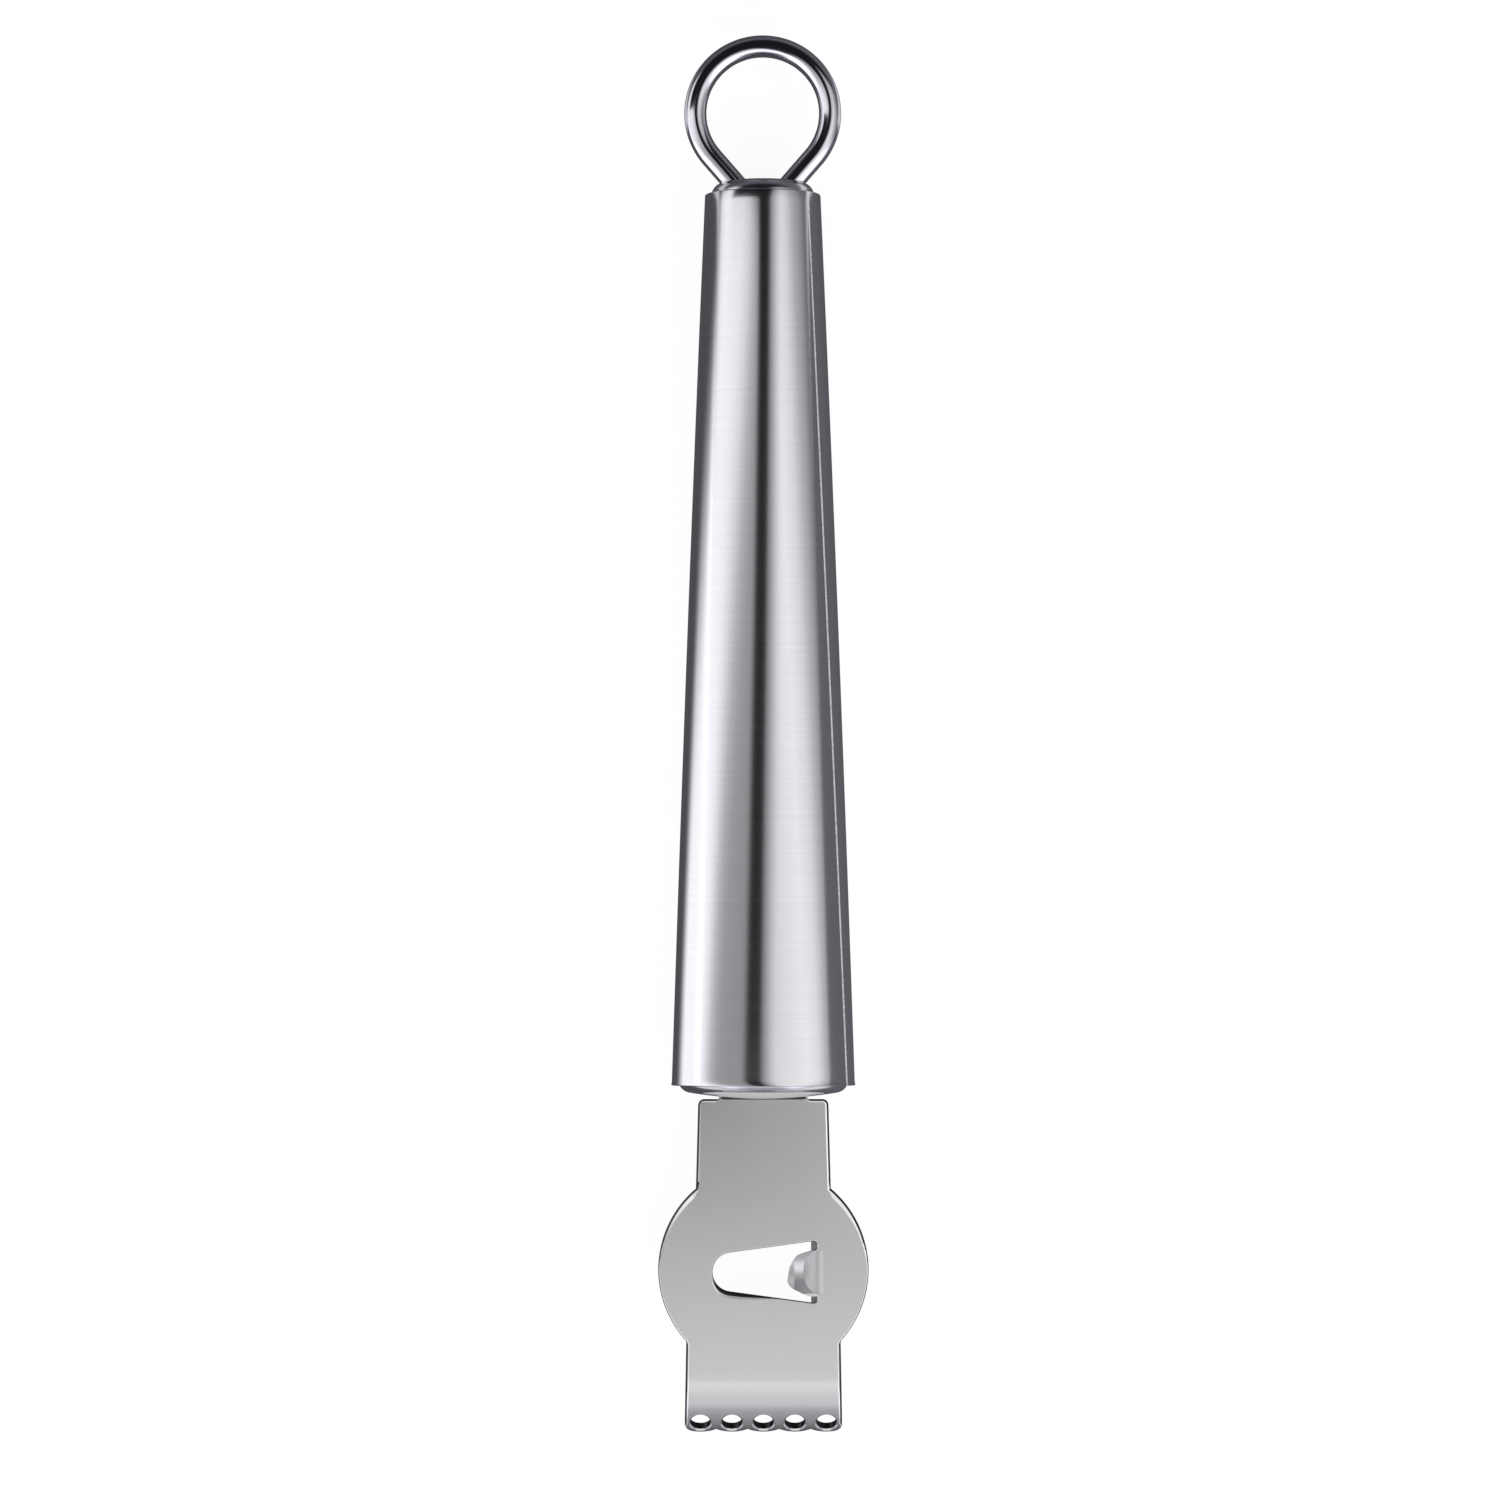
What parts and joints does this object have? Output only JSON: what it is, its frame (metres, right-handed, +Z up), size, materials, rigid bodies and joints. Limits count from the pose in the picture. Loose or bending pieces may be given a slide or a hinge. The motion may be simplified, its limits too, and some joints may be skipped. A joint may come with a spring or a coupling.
{
  "type": "citrus zester",
  "caption": "Citrus zester: tapered hollow steel handle with domed end caps and a wire hanging loop, and a stamped blade with a row of zest holes in its curled tip and a pressed channel knife.",
  "frame": {"origin": "on the table, under the middle of the tool's footprint as it lies on its handle", "axes": "+Z up and out of the blade's front face, +Y along the handle towards the hanging loop, +X across the blade towards the root of the channel knife"},
  "size_m": [0.0282, 0.1884, 0.0246],
  "materials": {
    "brushed_tube": "stainless sheet, finely brushed round its circumference",
    "polished_caps": "polished stainless sheet",
    "polished_wire": "polished stainless wire",
    "satin_blade": "satin stainless sheet with bright ground bevels"
  },
  "bodies": {
    "root": {"handle_tube": "brushed_tube", "blade_end_cap": "polished_caps", "ring_end_cap": "polished_caps", "hanging_loop": "polished_wire", "zester_blade": "satin_blade"}
  },
  "joints": []
}
